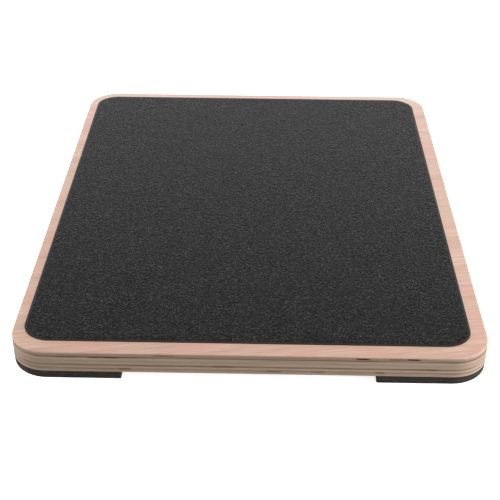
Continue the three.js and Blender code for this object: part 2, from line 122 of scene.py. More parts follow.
def srgb(red, green, blue):
    """A display colour, 0 to 255, as linear light with alpha."""
    def linear(value):
        share = value / 255
        return share / 12.92 if share <= 0.04045 else ((share + 0.055) / 1.055) ** 2.4
    return (linear(red), linear(green), linear(blue), 1.0)


def tinted(colour, red, green, blue):
    return (colour[0] * red, colour[1] * green, colour[2] * blue, 1.0)


# ------------------------------------------------------------------ material helpers

class Surface:
    """A material's node tree, with a short call for each kind of node that the materials here use."""

    def __init__(self, name):
        self.material = bpy.data.materials.new(name)
        self.material.use_nodes = True
        self.tree = self.material.node_tree
        self.tree.nodes.clear()
        self.place = self.node("ShaderNodeTexCoord").outputs["Object"]

    def node(self, kind, inputs=None, **settings):
        made = self.tree.nodes.new(kind)
        for key, value in settings.items():
            setattr(made, key, value)
        for key, value in (inputs or {}).items():
            self.feed(made.inputs[key], value)
        return made

    def feed(self, socket, value):
        if isinstance(value, bpy.types.NodeSocket):
            self.tree.links.new(value, socket)
        else:
            socket.default_value = value

    def stretched(self, scale):
        """Object coordinates times a scale per metre, one number or one for each axis."""
        if not isinstance(scale, tuple):
            scale = (scale, scale, scale)
        made = self.node("ShaderNodeVectorMath", {0: self.place, 1: scale}, operation="MULTIPLY")
        return made.outputs["Vector"]

    def noise(self, scale, detail=3.0, roughness=0.55, distortion=0.0):
        """Noise from 0 to 1. scale is features per metre, one number or one for each axis."""
        made = self.node("ShaderNodeTexNoise", {
            "Vector": self.stretched(scale), "Scale": 1.0, "Detail": detail,
            "Roughness": roughness, "Distortion": distortion,
        })
        return made.outputs["Fac"]

    def cells(self, scale):
        """Cells about one scale-th of a metre wide: the distance from each one's middle, and a grey
        of its own for each."""
        made = self.node("ShaderNodeTexVoronoi", {"Vector": self.stretched(scale), "Scale": 1.0})
        shade = self.node("ShaderNodeSeparateColor", {0: made.outputs["Color"]})
        return made.outputs["Distance"], shade.outputs[0]

    def math(self, operation, first, second):
        return self.node("ShaderNodeMath", {0: first, 1: second}, operation=operation).outputs[0]

    def blend(self, first, second, share):
        """A share of the first value plus the rest of the second."""
        return self.math("ADD", self.math("MULTIPLY", first, share),
                         self.math("MULTIPLY", second, 1.0 - share))

    def spread(self, value, low, high, to_low=0.0, to_high=1.0):
        """Maps a value from one range to another and holds it at the ends."""
        made = self.node("ShaderNodeMapRange", {
            "Value": value, "From Min": low, "From Max": high, "To Min": to_low, "To Max": to_high,
        })
        return made.outputs["Result"]

    def ramp(self, value, stops):
        """A straight colour ramp. stops are (position, colour) with a colour of four numbers."""
        made = self.node("ShaderNodeValToRGB", {"Fac": value})
        elements = made.color_ramp.elements
        while len(elements) < len(stops):
            elements.new(0.5)
        for element, (position, colour) in zip(elements, stops):
            element.position = position
            element.color = colour
        return made.outputs["Color"]

    def mix(self, share, first, second, blend="MIX"):
        made = self.node("ShaderNodeMix", data_type="RGBA", blend_type=blend)
        for index, value in ((0, share), (6, first), (7, second)):
            self.feed(made.inputs[index], value)
        return made.outputs[2]

    def grey(self, value):
        made = self.node("ShaderNodeCombineColor", {0: value, 1: value, 2: value})
        return made.outputs["Color"]

    def attribute(self, name):
        return self.node("ShaderNodeAttribute", attribute_name=name).outputs["Fac"]

    def z(self):
        return self.node("ShaderNodeSeparateXYZ", {0: self.place}).outputs["Z"]

    def bump(self, height, distance, strength=1.0, over=None):
        """A normal from a height of 0 to 1 that stands for distance metres."""
        inputs = {"Height": height, "Distance": distance, "Strength": strength}
        if over is not None:
            inputs["Normal"] = over
        return self.node("ShaderNodeBump", inputs).outputs["Normal"]

    def finish(self, **inputs):
        """Ends the tree in a Principled shader. Inputs are its sockets, _ for a space."""
        shader = self.node("ShaderNodeBsdfPrincipled")
        for key, value in inputs.items():
            self.feed(shader.inputs[key.replace("_", " ")], value)
        output = self.node("ShaderNodeOutputMaterial")
        self.tree.links.new(shader.outputs["BSDF"], output.inputs["Surface"])
        return self.material


# ------------------------------------------------------------------ materials

def veneer(name, pale, middle, dark, along="x", slant=0.0):
    """A sanded face veneer: long faint streaks, fine pores, and slow patches of pinker and yellower
    wood. slant turns the grain away from its axis, in degrees."""
    s = Surface(name)
    s.place = s.node("ShaderNodeMapping", {
        "Vector": s.place, "Rotation": (0.0, 0.0, math.radians(-slant)),
    }).outputs["Vector"]

    def grain(slow, quick):
        return (slow, quick, quick) if along == "x" else (quick, slow, quick)

    broad = s.noise(grain(5.0, 46.0), detail=3.0, distortion=0.35)
    fine = s.noise(grain(24.0, 620.0), detail=4.0, roughness=0.6, distortion=0.2)
    pores = s.noise(grain(190.0, 2600.0), detail=2.0)
    patches = s.noise(grain(26.0, 60.0), detail=3.0)
    colour = s.ramp(s.blend(broad, fine, 0.38), [(0.40, dark), (0.5, middle), (0.60, pale)])
    rosy = tinted(middle, 1.06, 0.93, 0.92)
    straw = tinted(middle, 0.99, 1.04, 0.94)
    colour = s.mix(s.spread(patches, 0.50, 0.62, 0.0, 0.6), colour, rosy)
    colour = s.mix(s.spread(patches, 0.50, 0.38, 0.0, 0.6), colour, straw)
    pore_marks = s.spread(pores, 0.60, 0.72, 0.0, 0.30)
    colour = s.mix(pore_marks, colour, (0.72, 0.62, 0.55, 1.0), "MULTIPLY")
    rough = s.spread(fine, 0.3, 0.7, 0.42, 0.58)
    relief = s.bump(s.math("SUBTRACT", fine, s.math("MULTIPLY", pore_marks, 1.2)), 0.05 * MM, 0.6)
    return s.finish(Base_Color=colour, Roughness=rough, Normal=relief, Specular_IOR_Level=0.55)


def line_stops(lines, half):
    """Ramp stops that are as bright as each line's strength within it and black between the lines.
    lines are (position, strength), and half is half a line's width as a share of the ramp."""
    clear = (0, 0, 0, 1)
    core, rim = 0.7 * half, 1.9 * half
    stops = [(0.0, clear)]
    for line, strength in lines:
        full = (strength, strength, strength, 1)
        stops += [(line - rim, clear), (line - core, full), (line + core, full), (line + rim, clear)]
    return stops + [(1.0, clear)]


def ply_edge(name, top, thickness, lines, line_width, brown_ply, pale, warm, dark):
    """Bare plies: pale layers with long fibres, and thin dark lines between them that come and go.
    lines are (share of the thickness from the top, strength), and brown_ply is where a browner ply
    starts and ends, as such shares. The mesh's core_gap, 0 to 1, is how open the core is."""
    s = Surface(name)
    waver = s.spread(s.noise((9.0, 9.0, 40.0), detail=3.0), 0.3, 0.7, -0.010, 0.010)
    depth = s.math("DIVIDE", s.math("SUBTRACT", top, s.z()), thickness)
    depth = s.math("ADD", depth, waver)
    in_line = s.ramp(depth, line_stops(lines, line_width / thickness / 2))
    along = s.noise((26.0, 26.0, 300.0), detail=4.0, roughness=0.65)
    line_strength = s.math("MULTIPLY", in_line, s.spread(along, 0.34, 0.66, 0.35, 1.0))
    fibre = s.noise((55.0, 55.0, 3400.0), detail=4.0, roughness=0.65, distortion=0.1)
    layers = s.noise((6.0, 6.0, 330.0), detail=2.0)
    colour = s.ramp(s.blend(fibre, layers, 0.55), [(0.30, warm), (0.66, pale)])
    stain = s.noise((14.0, 14.0, 150.0), detail=3.0)
    start, end = brown_ply
    soft = 0.02
    cross_ply = s.math("MULTIPLY", s.spread(depth, start - soft, start + soft),
                       s.spread(depth, end + soft, end - soft, 0.0, 0.6))
    browned = s.math("MAXIMUM", cross_ply, s.spread(stain, 0.56, 0.72, 0.0, 0.8))
    colour = s.mix(browned, colour, (0.86, 0.78, 0.70, 1.0), "MULTIPLY")
    fibre_ends = s.noise((1900.0, 1900.0, 1500.0), detail=2.0)
    specks = s.spread(fibre_ends, 0.60, 0.72, 0.0, 0.35)
    colour = s.mix(specks, colour, (0.60, 0.52, 0.44, 1.0), "MULTIPLY")
    colour = s.mix(line_strength, colour, dark)
    gap = s.attribute("core_gap")
    colour = s.mix(s.spread(gap, 0.02, 0.35, 0.0, 0.8), colour, srgb(124, 84, 60))
    # Past GAP_STARTS the open gap is painted near black-brown: painted shade in its hollow, over a
    # shallow modelled dent.
    colour = s.mix(s.spread(gap, GAP_STARTS, 0.85), colour, srgb(66, 32, 20))
    relief = s.bump(s.math("SUBTRACT", fibre, s.math("MULTIPLY", line_strength, 0.8)), 0.10 * MM, 0.7)
    return s.finish(Base_Color=colour, Roughness=s.spread(fibre, 0.3, 0.7, 0.55, 0.75),
                    Normal=relief, Specular_IOR_Level=0.3)


def grit():
    """Mineral grit in dark resin: crowded small grains in clumps, a few painted pale as glints."""
    s = Surface("grip_grit")
    grain, shade = s.cells(1400.0)
    fine = s.noise(3200.0, detail=2.0)
    cloud = s.noise(60.0, detail=3.0)
    clump = s.noise(380.0, detail=3.0, roughness=0.7)
    # Each grain gets its own grey; the palest stop is a painted glint, standing for grains that catch
    # the light.
    grains = s.ramp(shade, [(0.0, srgb(11, 11, 12)), (0.50, srgb(23, 23, 23)),
                            (0.85, srgb(39, 39, 39)), (1.0, srgb(78, 78, 76))])
    grains = s.mix(1.0, grains, s.grey(s.spread(clump, 0.36, 0.64, 0.5, 1.5)), "MULTIPLY")
    colour = s.mix(s.spread(cloud, 0.35, 0.7, 0.0, 0.2), grains, srgb(27, 27, 27))
    mound = s.math("SUBTRACT", 1.0, s.spread(grain, 0.0, 0.75))
    rough = s.math("ADD", s.spread(shade, 0.80, 1.0, 0.55, 0.45),
                   s.spread(clump, 0.36, 0.64, 0.06, -0.06))
    clumps = s.bump(clump, 0.75 * MM, 0.9)
    relief = s.bump(fine, 0.10 * MM, 0.5, over=s.bump(mound, 0.28 * MM, 0.8, over=clumps))
    return s.finish(Base_Color=colour, Roughness=rough, Normal=relief, Specular_IOR_Level=0.015,
                    Sheen_Weight=0.24, Sheen_Roughness=0.3)


def sheet_backing():
    """The sheet's cut edge and bare rim: smooth dark brown film with faint smears."""
    s = Surface("grip_backing")
    smear = s.noise((160.0, 160.0, 900.0), detail=3.0)
    tone = s.mix(s.spread(smear, 0.35, 0.7), srgb(30, 21, 19), srgb(44, 32, 29))
    return s.finish(Base_Color=tone, Roughness=s.spread(smear, 0.3, 0.7, 0.5, 0.7),
                    Normal=s.bump(smear, 0.04 * MM, 0.5), Specular_IOR_Level=0.35)


def rubber(name, colour, warm):
    """Matt rubber with a fine pebbled skin, faint bands, and dust on its high spots and scuffs."""
    s = Surface(name)
    pebble = s.noise(1500.0, detail=3.0, roughness=0.6)
    bands = s.noise((30.0, 30.0, 900.0), detail=3.0)
    tone = s.mix(s.spread(bands, 0.35, 0.65), colour, warm)
    scuffs = s.noise((120.0, 120.0, 420.0), detail=4.0, roughness=0.7)
    dust = s.math("MAXIMUM", s.spread(pebble, 0.55, 0.75, 0.0, 0.35),
                  s.spread(scuffs, 0.5, 0.75, 0.0, 0.5))
    tone = s.mix(dust, tone, srgb(88, 80, 71))
    return s.finish(Base_Color=tone, Roughness=s.spread(pebble, 0.3, 0.7, 0.72, 0.92),
                    Normal=s.bump(pebble, 0.09 * MM, 0.6), Specular_IOR_Level=0.35)


def metal(name, colour, shade, roughness, streak):
    """Bare or plated metal. streak is the noise scale on each axis, so it sets the brushing's run."""
    s = Surface(name)
    lines = s.noise(streak, detail=4.0, roughness=0.6)
    cloud = s.noise(38.0, detail=3.0)
    tone = s.mix(s.spread(cloud, 0.35, 0.7), colour, shade)
    tone = s.mix(s.spread(lines, 0.55, 0.8, 0.0, 0.25), tone, shade)
    rough = s.math("ADD", s.spread(lines, 0.3, 0.7, roughness - 0.08, roughness + 0.10),
                   s.spread(cloud, 0.3, 0.7, -0.04, 0.05))
    return s.finish(Base_Color=tone, Metallic=1.0, Roughness=rough,
                    Normal=s.bump(lines, 0.015 * MM, 0.5))


def powder_coat():
    """Black powder coat: orange-peel relief and a dull shine, with slow patches of greyer black."""
    s = Surface("powder_coat_black")
    peel = s.noise(900.0, detail=2.0, roughness=0.5)
    dust = s.noise(45.0, detail=4.0)
    tone = s.mix(s.spread(dust, 0.45, 0.75, 0.0, 0.5), srgb(34, 34, 36), srgb(52, 52, 53))
    return s.finish(Base_Color=tone, Roughness=s.spread(dust, 0.3, 0.7, 0.36, 0.50),
                    Normal=s.bump(peel, 0.05 * MM, 0.7), Specular_IOR_Level=0.5)


def floor_paint():
    """A plain white floor. It looks white to the camera and gives back a softer light."""
    s = Surface("floor_white")
    tone = s.spread(s.noise(0.8, detail=2.0), 0.3, 0.7, 0.90, 0.94)
    seen = s.node("ShaderNodeLightPath").outputs["Is Camera Ray"]
    colour = s.mix(seen, srgb(196, 196, 196), s.grey(tone))
    glow = s.math("MULTIPLY", seen, 0.8)
    return s.finish(Base_Color=colour, Roughness=0.9, Specular_IOR_Level=0.0,
                    Emission_Color=(1, 1, 1, 1), Emission_Strength=glow)


DECK_FACE = veneer("deck_face_veneer", srgb(222, 188, 170), srgb(209, 171, 153), srgb(194, 153, 134),
                   slant=9)
DECK_EDGE = ply_edge("deck_ply_edge", DECK_HIGH.z, DECK_THICKNESS, PLY_LINES, PLY_LINE_WIDTH,
                     BROWN_PLY, srgb(187, 166, 146), srgb(159, 138, 119), srgb(94, 64, 49))
BASE_FACE = veneer("base_face_veneer", srgb(226, 203, 176), srgb(213, 186, 157), srgb(196, 165, 134),
                   along="y")
BASE_EDGE = ply_edge("base_ply_edge", BASE_HIGH.z, BASE_THICKNESS, BASE_PLY_LINES, BASE_LINE_WIDTH,
                     BASE_BROWN_PLY, srgb(205, 184, 156), srgb(178, 152, 124), srgb(122, 95, 72))
GRIT = grit()
BACKING = sheet_backing()
PAD_RUBBER = rubber("pad_rubber", srgb(40, 37, 33), srgb(52, 47, 41))
FOOT_RUBBER = rubber("foot_rubber", srgb(36, 35, 34), srgb(46, 44, 42))
ZINC = metal("zinc_plate", srgb(206, 208, 206), srgb(172, 176, 180), 0.34, (260.0, 2200.0, 900.0))
STEEL = metal("drawn_steel", srgb(196, 198, 200), srgb(150, 153, 157), 0.22, (30.0, 2600.0, 2600.0))
ALUMINIUM = metal("milled_aluminium", srgb(214, 215, 216), srgb(188, 190, 193), 0.30,
                  (70.0, 3000.0, 1400.0))
BLACK = powder_coat()


# ------------------------------------------------------------------ shape helpers

def make_piece(name, vertices, faces, materials, face_slots=None, smooth_below=40):
    """A mesh object with smooth shading that breaks where two faces meet at more than an angle."""
    mesh = bpy.data.meshes.new(name)
    mesh.from_pydata([tuple(v) for v in vertices], [], faces)
    for material in materials:
        mesh.materials.append(material)
    if face_slots:
        mesh.polygons.foreach_set("material_index", face_slots)
    mesh.validate()
    return link_piece(name, mesh, smooth_below)


def link_piece(name, mesh, smooth_below=40):
    mesh.shade_smooth()
    mesh.set_sharp_from_angle(angle=math.radians(smooth_below))
    piece = bpy.data.objects.new(name, mesh)
    bpy.context.scene.collection.objects.link(piece)
    return piece


def keep_flat(piece):
    """Lets a piece's large faces set the shading at their corners, so that they stay flat."""
    modifier = piece.modifiers.new("keep_flat", "WEIGHTED_NORMAL")
    modifier.weight = 100
    modifier.keep_sharp = True
    return piece


def settle(piece, body, slot, *replaced):
    """Puts a piece on its body and in place of its CAD nodes. Its slot is not used."""
    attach(piece, body)
    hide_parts(*replaced)
    return piece


def rounded_outline(low, high, radii, step=2 * MM, arc_points=16):
    """Points round a rectangle in plan with their outward directions, counter-clockwise. radii are
    the corners' own, from near left. A point minus its direction times an inset is the inset one."""
    corners = [
        (low.x, low.y, 1, 1, math.pi), (high.x, low.y, -1, 1, 1.5 * math.pi),
        (high.x, high.y, -1, -1, 0.0), (low.x, high.y, 1, -1, 0.5 * math.pi),
    ]
    arcs = []
    for (x, y, side_x, side_y, start), radius in zip(corners, radii):
        centre = Vector((x + side_x * radius, y + side_y * radius))
        arc = []
        for n in range(arc_points + 1):
            angle = start + 0.5 * math.pi * n / arc_points
            out = Vector((math.cos(angle), math.sin(angle)))
            arc.append((centre + out * radius, out))
        arcs.append(arc)
    outline = []
    for arc, following in zip(arcs, arcs[1:] + arcs[:1]):
        outline += arc
        (start, out), (end, _) = arc[-1], following[0]
        count = max(1, round((end - start).length / step))
        outline += [(start.lerp(end, n / count), out) for n in range(1, count)]
    return outline


def loft(outline, levels):
    """Vertices and faces of a closed solid whose rings are an outline at several heights, from the
    top down. Each level is (z, inset), where inset is a number or a function of a point's index."""
    count = len(outline)
    vertices, faces = [], []
    for z, inset in levels:
        for index, (point, out) in enumerate(outline):
            amount = inset(index) if callable(inset) else inset
            place = point - out * amount
            vertices.append(Vector((place.x, place.y, z)))
    for ring in range(len(levels) - 1):
        for index in range(count):
            following = (index + 1) % count
            a, b = ring * count + index, ring * count + following
            faces.append((a, a + count, b + count, b))
    faces.append(tuple(range(count)))
    last = (len(levels) - 1) * count
    faces.append(tuple(last + n for n in reversed(range(count))))
    return vertices, faces


def eased(top, bottom, radius_top, radius_bottom, steps=5):
    """Levels for the rounded top edge and the rounded bottom edge of a plate: two lists."""
    quarter = [0.5 * math.pi * n / steps for n in range(steps + 1)]
    upper = [(top - radius_top * (1 - math.cos(a)), radius_top * (1 - math.sin(a))) for a in quarter]
    lower = [(bottom + radius_bottom * (1 - math.cos(a)), radius_bottom * (1 - math.sin(a)))
             for a in reversed(quarter)]
    return upper, lower


def turned(name, origin, direction, rings, material, segments):
    """A solid turned about a line. rings are (distance along, radius), first to last, with HEX as a
    third for a hexagonal one, and the first and last rings are closed flat."""
    axis = direction.normalized()
    side = axis.orthogonal().normalized()
    other = axis.cross(side)
    vertices, faces = [], []
    for along, radius, *hexagonal in rings:
        for n in range(segments):
            angle = 2 * math.pi * n / segments
            reach = radius
            if hexagonal:
                reach *= math.cos(math.pi / 6) / math.cos(angle % (math.pi / 3) - math.pi / 6)
            spoke = side * math.cos(angle) + other * math.sin(angle)
            vertices.append(origin + axis * along + spoke * reach)
    for ring in range(len(rings) - 1):
        for n in range(segments):
            following = (n + 1) % segments
            a, b = ring * segments + n, ring * segments + following
            faces.append((a, b, b + segments, a + segments))
    last = (len(rings) - 1) * segments
    faces.append(tuple(reversed(range(segments))))
    faces.append(tuple(last + n for n in range(segments)))
    return make_piece(name, vertices, faces, [material], smooth_below=35)


def refined(node, material, bevel=0.25 * MM, segments=2, edge_material=None):
    """A copy of a CAD node with merged flat faces and rounded edges. With an edge material, faces
    that stand upright take it."""
    work = bmesh.new()
    work.from_mesh(nodes[node].data)
    bmesh.ops.remove_doubles(work, verts=work.verts, dist=0.002 * MM)
    bmesh.ops.dissolve_limit(work, angle_limit=math.radians(0.6), verts=work.verts, edges=work.edges)
    sharp = [edge for edge in work.edges
             if len(edge.link_faces) == 2 and edge.calc_face_angle() > math.radians(32)]
    bmesh.ops.bevel(work, geom=sharp, offset=bevel, segments=segments, profile=0.5,
                    affect="EDGES", clamp_overlap=True)
    bmesh.ops.recalc_face_normals(work, faces=work.faces)
    mesh = bpy.data.meshes.new(node)
    for face in work.faces:
        upright = abs(face.normal.z) < 0.6
        face.material_index = int(edge_material is not None and upright)
    work.to_mesh(mesh)
    work.free()
    for used in (material, edge_material):
        if used is not None:
            mesh.materials.append(used)
    return keep_flat(link_piece(node + "_finish", mesh, 32))


def carve(piece, *cutters):
    """Cuts solids out of a piece and applies the result."""
    for cutter in cutters:
        modifier = piece.modifiers.new("carve", "BOOLEAN")
        modifier.operation = "DIFFERENCE"
        modifier.solver = "EXACT"
        modifier.object = cutter
    evaluated = piece.evaluated_get(bpy.context.evaluated_depsgraph_get())
    mesh = bpy.data.meshes.new_from_object(evaluated)
    piece.modifiers.clear()
    piece.data = mesh
    mesh.set_sharp_from_angle(angle=math.radians(35))
    for cutter in cutters:
        bpy.data.objects.remove(cutter)
    return piece


# ------------------------------------------------------------------ deck

def core_opening(x, line):
    """How open the core is at a place along one dark line of the near edge, from 0 for sound wood
    to 1. An opening is full over the middle of its length and fades out a little past its ends."""
    opened = 0.0
    for centre, length, number, opening in CORE_GAPS:
        if number == line:
            reach = abs(x / MM - centre) / (length / 2)
            opened = max(opened, opening * min(1.0, max(0.0, (1.2 - reach) / 0.45)))
    return opened


def deck_levels():
    """The deck's rings from the top down as (z, inset), and which line a ring lies across with the
    share of a gap's opening that reaches it, by the ring's number."""
    upper, lower = eased(DECK_HIGH.z, DECK_LOW.z, DECK_TOP_EASING, DECK_BOTTOM_EASING)
    levels = list(upper)
    lines_crossed = {}
    for number, (share, strength) in enumerate(PLY_LINES):
        middle = DECK_HIGH.z - share * DECK_THICKNESS
        for offset, sink, open_share in LINE_PROFILE:
            lines_crossed[len(levels)] = (number, open_share)
            levels.append((middle + offset * LINE_HALF, sink * strength * LINE_SINK))
    return levels + lower, lines_crossed


def deck_panel():
    """The plywood deck: eased edges, dark lines sanded in below the pale plies, and core gaps."""
    outline = rounded_outline(DECK_LOW, DECK_HIGH, [DECK_CORNER] * 4)
    levels, lines_crossed = deck_levels()

    def opening(index, ring):
        point, out = outline[index]
        on_near_edge = out.y <= -0.9
        if not on_near_edge or ring not in lines_crossed:
            return 0.0
        line, open_share = lines_crossed[ring]
        return core_opening(point.x, line) * open_share

    def handmade(ring):
        z, base = levels[ring]

        def inset(index):
            point, _ = outline[index]
            waves = Vector((point.x, point.y, z)) * 55
            sanding = (noise.noise(waves) * 0.05 + noise.noise(waves * 5) * 0.03) * MM
            gap = max(0.0, opening(index, ring) - GAP_STARTS) * GAP_DEPTH
            return base + abs(sanding) + gap
        return z, inset

    rings, count = range(len(levels)), len(outline)
    vertices, faces = loft(outline, [handmade(ring) for ring in rings])
    strips = [int(strip >= FACE_STRIPS) for strip in rings[:-1]]
    slots = [slot for slot in strips for _ in range(count)] + [0, 0]
    piece = make_piece("deck_plywood", vertices, faces, [DECK_FACE, DECK_EDGE], slots)
    attribute = piece.data.attributes.new("core_gap", "FLOAT", "POINT")
    attribute.data.foreach_set("value", [opening(n, ring) for ring in rings for n in range(count)])
    return settle(piece, "deck", "deck_wood", "deck_panel")


def grip_relief(x, y):
    """Height of the grains and slow waves at a place on the sheet's top."""
    grains = noise.noise(Vector((x, y, 0)) * 700) * 0.09 * MM
    waves = noise.noise(Vector((x, y, 1)) * 90) * 0.05 * MM
    return grains + waves


def close_below(vertices, faces, columns, rows, bottom):
    """Adds walls round a grid's rim and a flat bottom, and returns how many faces that took. The
    grid's vertices are in rows from near left."""
    wide = columns + 1
    rim = list(range(columns))
    rim += [r * wide + columns for r in range(rows)]
    rim += [rows * wide + c for c in range(columns, 0, -1)]
    rim += [r * wide for r in range(rows, 0, -1)]
    first = len(vertices)
    vertices += [Vector((vertices[n].x, vertices[n].y, bottom)) for n in rim]
    for n, vertex in enumerate(rim):
        following = (n + 1) % len(rim)
        faces.append((rim[following], vertex, first + n, first + following))
    faces.append(tuple(first + n for n in reversed(range(len(rim)))))
    return len(rim) + 1


def grip_sheet():
    """The grit sheet: an even grid whose outer rings are pulled to round corners, with grain-sized
    relief on top and an edge that curls down to the wood."""
    low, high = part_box("grip_sheet")
    columns = round((high.x - low.x) / GRIP_CELL)
    rows = round((high.y - low.y) / GRIP_CELL)
    cell = Vector(((high.x - low.x) / columns, (high.y - low.y) / rows))

    def placed(column, row):
        ring = min(column, columns - column, row, rows - row)
        x, y = low.x + column * cell.x, low.y + row * cell.y
        radius = max(GRIP_CORNER - ring * GRIP_CELL, 0.0)
        inset = Vector((ring * cell.x + radius, ring * cell.y + radius))
        centre = Vector((min(max(x, low.x + inset.x), high.x - inset.x),
                         min(max(y, low.y + inset.y), high.y - inset.y)))
        out = Vector((x, y)) - centre
        if radius > 0 and abs(out.x) > 1e-9 and abs(out.y) > 1e-9:
            out = out * (max(abs(out.x), abs(out.y)) / out.length)
            x, y = centre.x + out.x, centre.y + out.y
        drop = GRIP_EDGE_DROPS[ring] if ring < len(GRIP_EDGE_DROPS) else 0.0
        relief = grip_relief(x, y) if ring > 0 else 0.0
        return Vector((x, y, high.z - GRIP_RELIEF - drop + relief))

    vertices = [placed(c, r) for r in range(rows + 1) for c in range(columns + 1)]
    wide = columns + 1
    faces = [(r * wide + c, r * wide + c + 1, (r + 1) * wide + c + 1, (r + 1) * wide + c)
             for r in range(rows) for c in range(columns)]
    walls = close_below(vertices, faces, columns, rows, low.z)
    slots = [int(min(r, rows - 1 - r, c, columns - 1 - c) < BACKING_RINGS)
             for r in range(rows) for c in range(columns)] + [1] * walls
    piece = make_piece("grip_grit_sheet", vertices, faces, [GRIT, BACKING], slots, smooth_below=50)
    return settle(piece, "deck", "grip", "grip_sheet")


# ------------------------------------------------------------------ pads, feet, fasteners

def screw_well(word, number, pad_bottom):
    """The solid that is cut out of a pad round one screw: a mouth, a head's room and a shank hole."""
    low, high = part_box(f"pad_screw_{word}_{number}")
    middle = (low + high) / 2
    mouth, head_room, hole, lead = 5.0 * MM, 4.4 * MM, 2.1 * MM, 1 * MM
    origin = Vector((middle.x, middle.y, pad_bottom - lead))
    rings = [(0.0, mouth), (0.9 * MM, mouth), (1.5 * MM, head_room), (4.2 * MM, head_room),
             (4.2 * MM, hole), (8.0 * MM, hole)]
    return turned("well", origin, Vector((0, 0, 1)), rings, PAD_RUBBER, 28)


def corner_pad(word):
    """A rubber pad that follows the deck's corner, with rounded lower edges and two screw wells."""
    node = f"pad_near_{word}"
    low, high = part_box(node)
    radii = [PAD_INNER_CORNER] * 4
    radii[0 if word == "left" else 1] = PAD_CORNER
    outline = rounded_outline(low, high, radii, step=3 * MM, arc_points=12)
    upper, lower = eased(high.z, low.z, 0.3 * MM, 0.5 * MM, steps=4)
    bulge = [(high.z + (low.z - high.z) * share, -0.10 * MM) for share in (0.3, 0.5, 0.65)]

    def worn(z, base):
        def inset(index):
            point, _ = outline[index]
            return base + noise.noise(Vector((point.x, point.y, z)) * 160) * 0.10 * MM
        return inset

    levels = [(z, worn(z, base)) for z, base in upper + bulge + lower]
    vertices, faces = loft(outline, levels)
    piece = make_piece(f"corner_pad_{word}", vertices, faces, [PAD_RUBBER])
    carve(piece, *(screw_well(word, number, low.z) for number in (1, 2)))
    return settle(piece, "deck", "rubber", node)


def foot(place, word):
    """A thin rubber disc with a rounded rim and a shallow dish in its tread."""
    node = f"foot_{place}_{word}"
    low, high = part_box(node)
    middle = (low + high) / 2
    radius = (high.x - low.x) / 2
    height = high.z - low.z
    origin = Vector((middle.x, middle.y, low.z))
    rings = [(0.30 * MM, radius * 0.15), (0.25 * MM, radius * 0.68), (0.0, radius * 0.76),
             (0.0, radius * 0.90), (0.15 * MM, radius * 0.97), (0.45 * MM, radius),
             (height, radius * 0.985)]
    piece = turned(f"rubber_foot_{place}_{word}", origin, Vector((0, 0, 1)), rings, FOOT_RUBBER, 48)
    return settle(piece, "base", "rubber", node)


def fastener(node, body, direction, size, countersunk=False, socket=True):
    """A screw or rivet in place of its CAD node. Its head's outer face is at the near end of the
    node's box along direction, and its shank runs to the other end. Screws have a hexagon socket."""
    head, head_height, shank = size
    low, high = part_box(node)
    middle = (low + high) / 2
    half = Vector(abs(high[i] - low[i]) / 2 * direction[i] for i in range(3))
    origin = middle - half
    length = 2 * half.length
    rings = []
    if socket:
        reach = head * 0.46
        deep = head_height * 0.55
        rings += [(deep, reach * 0.3, HEX), (deep, reach, HEX), (0.0, reach, HEX),
                  (0.0, reach * 1.12)]
    else:
        rings += [(0.0, head * 0.35), (0.02 * MM, head * 0.55)]
    if countersunk:
        rings += [(0.0, head * 0.96), (0.08 * MM, head), (head_height, shank)]
    else:
        rings += [(head_height * 0.06, head * 0.72), (head_height * 0.28, head * 0.90),
                  (head_height * 0.60, head), (head_height * 0.94, head),
                  (head_height, head * 0.97), (head_height, shank)]
    point = 3 * MM if socket else 0.15 * MM
    tip = 0.2 * MM if socket else shank * 0.9
    rings += [(length - point, shank), (length, tip)]
    piece = turned(node + "_turned", origin, direction, rings, ZINC, 36)
    return settle(piece, body, "zinc", node)


def rod(node, body, rings_of):
    """A round rod or pin along x. rings_of gives its rings from its length and largest radius."""
    low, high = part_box(node)
    middle = (low + high) / 2
    origin = Vector((low.x, middle.y, middle.z))
    rings = rings_of(high.x - low.x, (high.z - low.z) / 2)
    piece = turned(node + "_turned", origin, Vector((1, 0, 0)), rings, STEEL, 48)
    return settle(piece, body, "rod", node)


def plain_rod(length, radius):
    chamfer = 0.25 * MM
    return [(0, radius - chamfer), (chamfer, radius), (length - chamfer, radius),
            (length, radius - chamfer)]


def headed_pin(length, head):
    """A hinge pin with a domed head at each end."""
    shank, thick = 1.5 * MM, 1.2 * MM
    dome = [(0.0, head * 0.45), (thick * 0.15, head * 0.78), (thick * 0.45, head),
            (thick * 0.92, head), (thick, head * 0.95), (thick, shank)]
    return dome + [(length - along, radius) for along, radius in reversed(dome)]


def shouldered_rod(length, radius):
    """The catch rod: thick between the prop's arms, thin where it passes through them."""
    thin, chamfer = 1.6 * MM, 0.25 * MM
    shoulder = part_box("prop_arm_left")[1].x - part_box("catch_rod")[0].x + 0.3 * MM
    half = [(0, thin - chamfer), (chamfer, thin), (shoulder, thin),
            (shoulder, radius - chamfer), (shoulder + chamfer, radius)]
    return half + [(length - along, reach) for along, reach in reversed(half)]


# ------------------------------------------------------------------ build everything

